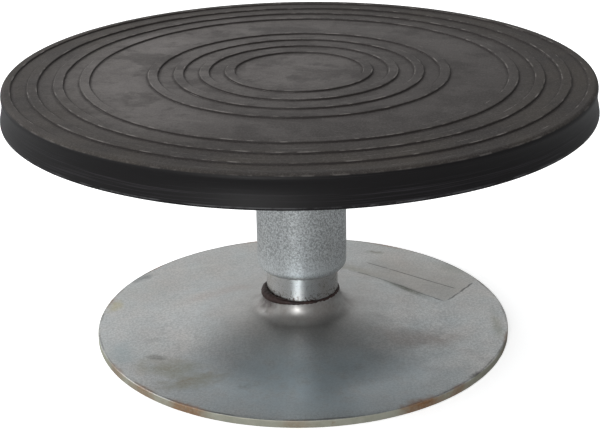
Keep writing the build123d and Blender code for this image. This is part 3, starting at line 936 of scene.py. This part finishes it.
# %% How the base shines
feed(tree, shader.inputs["Base Color"], colour)
dirt = strongest(tree, stained, rust_mask, burn, glue)
dirt = strongest(tree, dirt, times(tree, inside, 0.4), times(tree, edge_side, 0.9))
feed(tree, shader.inputs["Metallic"], ranged(tree, dirt, 0.0, 1.0, 0.84, 0.2))
shine = sums(tree, "MULTIPLY_ADD", dirt, 0.2, ranged(tree, patches, 0.0, 1.0, 0.33, 0.42))
feed(tree, shader.inputs["Roughness"], shine)
pitting = use(tree, "speckle", Position=at["Position"], Size=1.4)["Height"]
height = sums(tree, "MULTIPLY_ADD", grain_lines, 0.35, times(tree, pitting, 0.7))
height = sums(tree, "MULTIPLY_ADD", times(tree, rust_mask, pitting), 3.0, height)
relief(tree, shader, 0.35, 0.06, height)
print("finished", zinc_plate.name, "nodes", len(tree.nodes))

# %% [markdown]
# The plate is spun from a section of straight runs, bent by a vertex bevel of the right radius on both
# skins: wide at the foot, tight at the neck. The neck is drawn too high, then cut level, and the
# hole for the post is cut straight, both by bisecting the flat section before the spin. A press never
# gives a perfect cone, so the skin is moved a little afterwards, and the broken reflections show it.

# %% Base plate shape
POST_RADIUS, POST_LOW, POST_TOP = size_of("spindle_post")
CONE_SLOPE = math.radians(10)
FOOT_BEND = 115.0
NECK_BEND = 10.0
NECK_RADIUS = 20.0
RIM_START = 85.0
EDGE_ROUNDING = 0.6

foot_corner = RIM_START - FOOT_BEND * math.tan(CONE_SLOPE / 2)
neck_corner_height = SHEET + (foot_corner - NECK_RADIUS) * math.tan(CONE_SLOPE)
under_foot_corner = RIM_START - (FOOT_BEND + SHEET) * math.tan(CONE_SLOPE / 2)
under_neck_radius = NECK_RADIUS - SHEET
under_neck_height = (under_foot_corner - under_neck_radius) * math.tan(CONE_SLOPE)
above_neck = NECK_TOP + 2.0
print("corners: foot", round(foot_corner, 2), "neck", round(neck_corner_height, 2))

# %% Base plate section
bm, points = section(
    [
        (under_neck_radius, above_neck),
        (NECK_RADIUS, above_neck),
        (NECK_RADIUS, neck_corner_height),
        (foot_corner, SHEET),
        (PLATE_EDGE, SHEET),
        (PLATE_EDGE, PLATE_LOW),
        (under_foot_corner, PLATE_LOW),
        (under_neck_radius, under_neck_height),
    ]
)
for index, rounding, segments in (
    (2, NECK_BEND, 12),
    (3, FOOT_BEND, 8),
    (4, EDGE_ROUNDING, 3),
    (5, EDGE_ROUNDING, 3),
    (6, FOOT_BEND + SHEET, 8),
    (7, NECK_BEND + SHEET, 12),
):
    round_corner(bm, points[index], rounding, segments)
BORE_CUT = ((POST_RADIUS * MM, 0, 0), (-1, 0, 0))
TOP_CUT = ((0, 0, NECK_TOP * MM), (0, 0, 1))
for plane_at, plane_facing in (BORE_CUT, TOP_CUT):
    bmesh.ops.bisect_plane(
        bm,
        geom=bm.verts[:] + bm.edges[:] + bm.faces[:],
        dist=1e-7,
        plane_co=plane_at,
        plane_no=plane_facing,
        clear_outer=True,
    )

# %% Spinning and denting the base plate
cut_long_edges(bm, 3.2)
spin_round(bm)
for vert in bm.verts:
    radius = vert.co.xy.length / MM
    on_cone = max(0.0, min(1.0, (radius - 24) / 12)) * max(0.0, min(1.0, (98 - radius) / 16))
    low_place = Vector((vert.co.x, vert.co.y, 0.0))
    lift = 0.16 * unevenness(low_place, 46.0, 5.0) + 0.035 * unevenness(low_place, 13.0, 6.0)
    vert.co.z = max(PLATE_LOW * MM, vert.co.z + lift * on_cone * MM)
    if radius > PLATE_EDGE - 1.5:
        nibble = 0.08 + 0.08 * unevenness(low_place, 6.0, 7.0)
        vert.co.xy *= (radius - nibble) / radius
finish_piece(bm, "dished_base", "base", "base_plate", zinc_plate)

# %% [markdown]
# ## The galvanised sleeve
#
# The tube that turns round the post was cut from galvanised pipe. Hot zinc freezes into a coarse mottled
# coat, light and dark specks about a millimetre across, and its foot was rounded over on a lathe. The
# mottling is colour and bump together; the foot, the bore and the bearing seats are in the section.

# %% Sleeve finish
SLEEVE_RADIUS, SLEEVE_LOW, SLEEVE_TOP = size_of("bearing_sleeve")

galvanised, tree, shader = new_material("mottled galvanising")
at = use(tree, "turned places")
mottle = use(tree, "speckle", Position=at["Position"], Size=0.95, Sharpness=7.0)
slow = mark(tree, "cloudiness", at, Size=15.0, Contrast=2.2)
colour = blended(tree, mottle["Mask"], (0.32, 0.335, 0.345), (0.78, 0.81, 0.82))
colour = blended(tree, times(tree, slow, 0.25), colour, (0.58, 0.58, 0.56))
# Painted light: the colour turns paler towards the foot, as light bounced up from the base.
painted_foot_light = ranged(tree, at["Height"], SLEEVE_LOW + 3.0, SLEEVE_LOW + 16.0, 0.4, 0.0)
colour = blended(tree, painted_foot_light, colour, (0.82, 0.86, 0.88))
# Painted shade: a broken dark line at the very foot, where the gap above the post lies in shadow.
foot_gap_shade = mark(
    tree,
    "band of wear and painted light",
    at,
    Value=at["Height"],
    Place=SLEEVE_LOW,
    Width=1.2,
    Breaks=4.0,
    Cover=0.75,
)
colour = blended(tree, times(tree, foot_gap_shade, 0.8), colour, (0.05, 0.045, 0.04))
feed(tree, shader.inputs["Base Color"], colour)
shader.inputs["Metallic"].default_value = 0.85
feed(tree, shader.inputs["Roughness"], ranged(tree, mottle["Mask"], 0.0, 1.0, 0.55, 0.38))
relief(tree, shader, 0.55, 0.12, mottle["Height"])

# %% Sleeve shape
FOOT_WIDTH = 4.1
FOOT_HEIGHT = 4.4
LIP_BORE = 19.5
PLAIN_BORE = 16.0
BEARING_RADIUS = size_of("lower_bearing_outer_ring")[0]
RING_GROOVE = 18.5
RING_THICKNESS = 1.5
lower_bearing_low, lower_bearing_top = size_of("lower_bearing_outer_ring")[1:]
upper_bearing_low, upper_bearing_top = size_of("upper_bearing_outer_ring")[1:]

bm, points = section(
    [
        (LIP_BORE, SLEEVE_LOW),
        (SLEEVE_RADIUS, SLEEVE_LOW),
        (SLEEVE_RADIUS, SLEEVE_TOP),
        (BEARING_RADIUS, SLEEVE_TOP),
        (BEARING_RADIUS, upper_bearing_top + RING_THICKNESS),
        (RING_GROOVE, upper_bearing_top + RING_THICKNESS),
        (RING_GROOVE, upper_bearing_top),
        (BEARING_RADIUS, upper_bearing_top),
        (BEARING_RADIUS, upper_bearing_low),
        (PLAIN_BORE, upper_bearing_low),
        (PLAIN_BORE, lower_bearing_top),
        (BEARING_RADIUS, lower_bearing_top),
        (BEARING_RADIUS, lower_bearing_low),
        (RING_GROOVE, lower_bearing_low),
        (RING_GROOVE, lower_bearing_low - RING_THICKNESS),
        (BEARING_RADIUS, lower_bearing_low - RING_THICKNESS),
        (BEARING_RADIUS, lower_bearing_low - RING_THICKNESS - 2.0),
        (LIP_BORE, lower_bearing_low - RING_THICKNESS - 2.0),
    ]
)
foot = round_corner(bm, points[1], FOOT_WIDTH, 8)
bmesh.ops.scale(
    bm,
    vec=(1.0, 1.0, FOOT_HEIGHT / FOOT_WIDTH),
    space=Matrix.Translation((0.0, 0.0, -SLEEVE_LOW * MM)),
    verts=foot,
)
cut_long_edges(bm, 3.0)
spin_round(bm, 192)
for vert in bm.verts:
    if vert.co.xy.length / MM > SLEEVE_RADIUS - 0.4:
        vert.co.xy *= 1.0 - (0.0012 + 0.0012 * unevenness(vert.co, 5.0, 8.0))
finish_piece(bm, "galvanised_pipe", "turntable", "bearing_sleeve", galvanised)

# %% [markdown]
# ## The turned post
#
# The post is a solid steel bar, turned bright. The tool leaves a fine spiral of grooves, too small to see
# one by one, and together they pull every highlight into a line from top to bottom. That is why the bump
# here changes only with height.

# %% Post finish
turned_steel, tree, shader = new_material("bright turned steel")
at = use(tree, "turned places")
tool_marks = put(tree, "CombineXYZ", X=0.0, Y=0.0, Z=times(tree, at["Height"], 2.2))
grooves = cloud(tree, tool_marks.outputs["Vector"], 1.0, 3.0, 0.7)
spots = mark(tree, "speckle", at, Size=1.6, Sharpness=5.0)
colour = blended(tree, grooves, (0.52, 0.52, 0.52), (0.70, 0.705, 0.71))
colour = blended(tree, ranged(tree, spots, 0.0, 0.12, 0.5, 0.0), colour, (0.16, 0.13, 0.11))
warm = mark(tree, "cloudiness", at, Size=12.0, Contrast=3.0)
colour = blended(tree, times(tree, warm, 0.3), colour, (0.50, 0.45, 0.38))
spatter = ranged(tree, at["Height"], NECK_TOP + 1.0, NECK_TOP + 6.0, 1.0, 0.0)
spatter = times(tree, spatter, ranged(tree, at["Height"], NECK_TOP - 4.0, NECK_TOP - 2.0))
spatter = times(tree, spatter, ranged(tree, spots, 0.25, 0.45, 0.9, 0.0))
colour = blended(tree, spatter, colour, (0.10, 0.055, 0.045))
feed(tree, shader.inputs["Base Color"], colour)
shader.inputs["Metallic"].default_value = 1.0
feed(tree, shader.inputs["Roughness"], ranged(tree, grooves, 0.2, 0.8, 0.17, 0.27))
relief(tree, shader, 1.0, 0.11, grooves)

# %% Post shape
LAND_RADIUS = size_of("bearing_spacer")[0] + 0.5
AXLE_RADIUS = 7.5
THREAD_RADIUS = 6.0
SHOULDER_HEIGHT = 46.0
END_CHAMFER = 1.0
bm, points = section(
    [
        (0.0, POST_LOW),
        (POST_RADIUS, POST_LOW),
        (POST_RADIUS, SHOULDER_HEIGHT),
        (LAND_RADIUS, SHOULDER_HEIGHT),
        (LAND_RADIUS, lower_bearing_low),
        (AXLE_RADIUS, lower_bearing_low),
        (AXLE_RADIUS, upper_bearing_top),
        (THREAD_RADIUS, upper_bearing_top),
        (THREAD_RADIUS, POST_TOP),
        (0.0, POST_TOP),
    ]
)
for index in (1, 2, 8):
    round_corner(bm, points[index], END_CHAMFER, 2)
cut_long_edges(bm, 2.5)
spin_round(bm, 128)
finish_piece(bm, "turned_post", "base", "spindle_post", turned_steel)

# %% [markdown]
# ## The welds
#
# The post is welded into the neck of the base from above and from below, and the pipe is welded to its
# flange. A hand-laid bead is a row of overlapping puddles. Each bead here is a small circle spun round
# the column, then swollen and pinched from place to place. The visible one is fat to the left, where the
# welder started and stopped, and thin to the right.

# %% Weld finish
weld, tree, shader = new_material("burnt weld")
at = use(tree, "turned places")
crust = use(tree, "speckle", Position=at["Position"], Size=1.6, Sharpness=4.0)
patches = mark(tree, "cloudiness", at, Size=7.0, Contrast=3.5)
colour = blended(tree, patches, (0.020, 0.012, 0.012), (0.062, 0.030, 0.026))
colour = blended(tree, times(tree, crust["Mask"], 0.25), colour, (0.10, 0.075, 0.068))
feed(tree, shader.inputs["Base Color"], colour)
shader.inputs["Metallic"].default_value = 0.35
feed(tree, shader.inputs["Roughness"], ranged(tree, crust["Mask"], 0.0, 1.0, 0.45, 0.7))
relief(tree, shader, 0.6, 0.25, crust["Height"])

# %% Weld shapes
PUDDLE = 2.4
WELDER_SIDE = math.radians(200)


def weld_bead(name, body, node, radius, height, thickness, swelling):
    """A lumpy ring: a small circle spun at a radius, fatter towards the welder's side."""
    bm = bmesh.new()
    upright = Matrix.Rotation(math.radians(90), 4, "X")
    upright = Matrix.Translation((radius * MM, 0, height * MM)) @ upright
    bmesh.ops.create_circle(bm, cap_ends=False, segments=14, radius=thickness * MM, matrix=upright)
    spin_round(bm, 240)
    puddle_count = round(math.tau * radius / PUDDLE)
    for vert in bm.verts:
        angle = math.atan2(vert.co.y, vert.co.x)
        core = Vector((math.cos(angle) * radius * MM, math.sin(angle) * radius * MM, height * MM))
        puddles = 0.10 * math.sin(angle * puddle_count + 3 * unevenness(core, 12.0, 9.0))
        lump = 1.0 + puddles + 0.22 * unevenness(vert.co, 3.5, 10.0)
        fat_side = (0.5 + 0.5 * math.cos(angle - WELDER_SIDE)) ** 6
        lump += swelling * fat_side
        outwards = Vector((math.cos(angle), math.sin(angle), -0.4)) * 0.55 * swelling * fat_side * MM
        vert.co = core + outwards + (vert.co - core) * lump
    return finish_piece(bm, name, body, node, weld)


UNDER_WELD_TOP = size_of("under_weld")[2]
HEAD_WELD_TOP = size_of("head_weld")[2]
weld_bead("base_bead", "base", "base_weld", POST_RADIUS + 0.25, NECK_TOP - 0.1, 0.7, 2.0)
weld_bead("under_bead", "base", "under_weld", POST_RADIUS + 0.6, UNDER_WELD_TOP - 2.6, 1.9, 0.15)
weld_bead("flange_bead", "turntable", "head_weld", SLEEVE_RADIUS + 0.4, HEAD_WELD_TOP - 0.5, 1.6, 0.1)

# %% [markdown]
# ## The rest of the parts
#
# What is left keeps its CAD shape: the wooden disc under the rubber, the flange with its screws, the two
# ball bearings and the nut. They are simple finishes, yet each gets its own colour change and grain,
# because the underside shows whenever the stand is lifted and the bearings show on the bench.


# %% Finishes for the inner parts
def plain_metal(name, dark, light, metallic, low_rough, high_rough, patch_size):
    """A metal with patches of tone, fine scratches round the part and a soft grain."""
    material, tree, shader = new_material(name)
    at = use(tree, "turned places")
    patches = mark(tree, "cloudiness", at, Size=patch_size, Contrast=2.5)
    scratches = use(tree, "scuffs", Position=at["Round"], Length=0.7, Width=0.15, Amount=0.55)["Mask"]
    colour = blended(tree, patches, dark, light)
    brighter = tuple(min(1.0, value * 1.2) for value in light)
    colour = blended(tree, times(tree, scratches, 0.5), colour, brighter)
    feed(tree, shader.inputs["Base Color"], colour)
    shader.inputs["Metallic"].default_value = metallic
    feed(tree, shader.inputs["Roughness"], ranged(tree, patches, 0.0, 1.0, low_rough, high_rough))
    grain = use(tree, "speckle", Position=at["Position"], Size=0.8)["Height"]
    relief(tree, shader, 0.2, 0.05, grain)
    return material


def soft_part(name, dark, light, roughness):
    """Moulded rubber or nylon: two near tones and a fine grain."""
    material, tree, shader = new_material(name)
    at = use(tree, "turned places")
    patches = mark(tree, "cloudiness", at, Size=5.0, Contrast=2.5)
    feed(tree, shader.inputs["Base Color"], blended(tree, patches, dark, light))
    feed(tree, shader.inputs["Roughness"], ranged(tree, patches, 0.0, 1.0, roughness, roughness + 0.15))
    grain = use(tree, "speckle", Position=at["Position"], Size=0.6)["Height"]
    relief(tree, shader, 0.25, 0.05, grain)
    return material


flange_zinc = plain_metal("flange zinc", (0.42, 0.43, 0.42), (0.58, 0.58, 0.56), 1.0, 0.34, 0.48, 12.0)
screw_zinc = plain_metal("screw zinc", (0.48, 0.47, 0.40), (0.64, 0.62, 0.54), 1.0, 0.28, 0.42, 2.5)
polished = plain_metal("bearing steel", (0.66, 0.66, 0.67), (0.78, 0.78, 0.79), 1.0, 0.10, 0.20, 4.0)
blackened = plain_metal("spring steel", (0.07, 0.07, 0.075), (0.16, 0.15, 0.15), 0.9, 0.30, 0.45, 3.0)
cage_brass = plain_metal("cage brass", (0.55, 0.40, 0.17), (0.72, 0.56, 0.27), 1.0, 0.24, 0.36, 4.0)
seal_rubber = soft_part("seal rubber", (0.012, 0.012, 0.013), (0.032, 0.031, 0.031), 0.55)
nylon = soft_part("nylon", (0.62, 0.66, 0.72), (0.78, 0.80, 0.82), 0.38)

# %% [markdown]
# The disc under the rubber is plywood with a black resin film, as it is sold for shuttering: it takes no
# water. From below the film shows, dark and half glossy with the long grain of the veneer telegraphed
# through it, and scuffed paler where tools have knocked it. Its edge shows the plies as thin bands. The
# grain is noise drawn out along one direction, and the bands come from the height alone.

# %% Film-faced plywood
plywood, tree, shader = new_material("film-faced plywood")
at = use(tree, "turned places")
drawn_out = stretched(tree, at["Position"], turn=0.2, scale=(90.0, 5.0, 200.0))
figure = cloud(tree, drawn_out, 1.0, 4.0, 0.6, 0.6)
fibres = cloud(tree, stretched(tree, at["Position"], turn=0.2, scale=(22.0, 0.35, 1.0)), 1.0, 3.0, 0.6)
film = blended(tree, ranged(tree, figure, 0.3, 0.7), (0.056, 0.056, 0.058), (0.086, 0.084, 0.084))
knocks = mark(tree, "scuffs", at, Turn=0.7, Length=14.0, Width=0.5, Amount=0.5)
film = blended(tree, times(tree, knocks, 0.4), film, (0.16, 0.14, 0.12))
ply = sums(tree, "PINGPONG", at["Height"], 1.3)
wood = blended(tree, ranged(tree, ply, 0.5, 0.8), (0.42, 0.28, 0.16), (0.20, 0.12, 0.07))
on_edge = ranged(tree, sums(tree, "ABSOLUTE", at["Upward"]), 0.2, 0.6, 1.0, 0.0)
feed(tree, shader.inputs["Base Color"], blended(tree, on_edge, film, wood))
feed(tree, shader.inputs["Roughness"], ranged(tree, figure, 0.2, 0.8, 0.42, 0.6))
relief(tree, shader, 0.25, 0.08, fibres)

# %% [markdown]
# A CAD node is never moved or changed. It only gets its finish, in every material slot it has.

# %% Every other CAD node gets its finish
NODE_FINISHES = {
    "core_disc": plywood,
    "head_flange": flange_zinc,
    "flange_screws": screw_zinc,
    "flange_washers": screw_zinc,
    "bearing_spacer": flange_zinc,
    "axle_washer": screw_zinc,
    "axle_nut": screw_zinc,
    "nut_insert": nylon,
    "lower_retaining_ring": blackened,
    "upper_retaining_ring": blackened,
}
for level in ("lower", "upper"):
    NODE_FINISHES[f"{level}_bearing_inner_ring"] = polished
    NODE_FINISHES[f"{level}_bearing_outer_ring"] = polished
    NODE_FINISHES[f"{level}_bearing_balls"] = polished
    NODE_FINISHES[f"{level}_bearing_cage"] = cage_brass
    NODE_FINISHES[f"{level}_bearing_seals"] = seal_rubber
for node_name, material in NODE_FINISHES.items():
    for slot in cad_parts[node_name].material_slots:
        slot.material = material
print("finished nodes", len(NODE_FINISHES))
